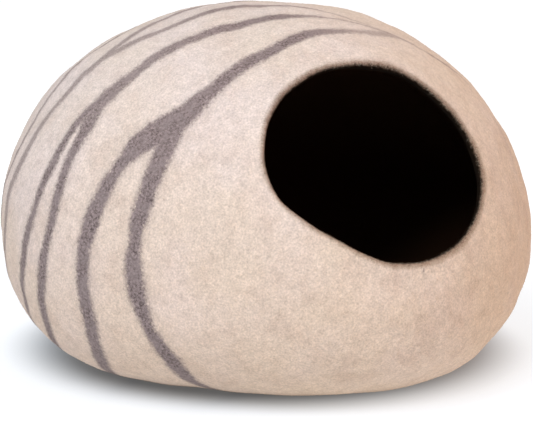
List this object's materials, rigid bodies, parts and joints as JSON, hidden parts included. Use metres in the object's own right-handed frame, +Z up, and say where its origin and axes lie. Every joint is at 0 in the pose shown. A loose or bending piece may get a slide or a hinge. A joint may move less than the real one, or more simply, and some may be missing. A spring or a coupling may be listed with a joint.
{
  "type": "felt cat cave",
  "caption": "Seamless wool felt cat cave: a pebble-shaped hollow pod with a round slanted opening in front and a flat base.",
  "frame": {"origin": "on the floor, under the middle of the pod's box", "axes": "+Z up, the opening faces -Y and slants upwards, +X is to the right of someone who looks into it"},
  "size_m": [0.4836, 0.4683, 0.3205],
  "materials": {
    "wool_felt": "matt felted wool, cream with grey-mauve stripes outside and dark inside"
  },
  "bodies": {
    "root": {"felt_pod": "wool_felt"}
  },
  "joints": []
}
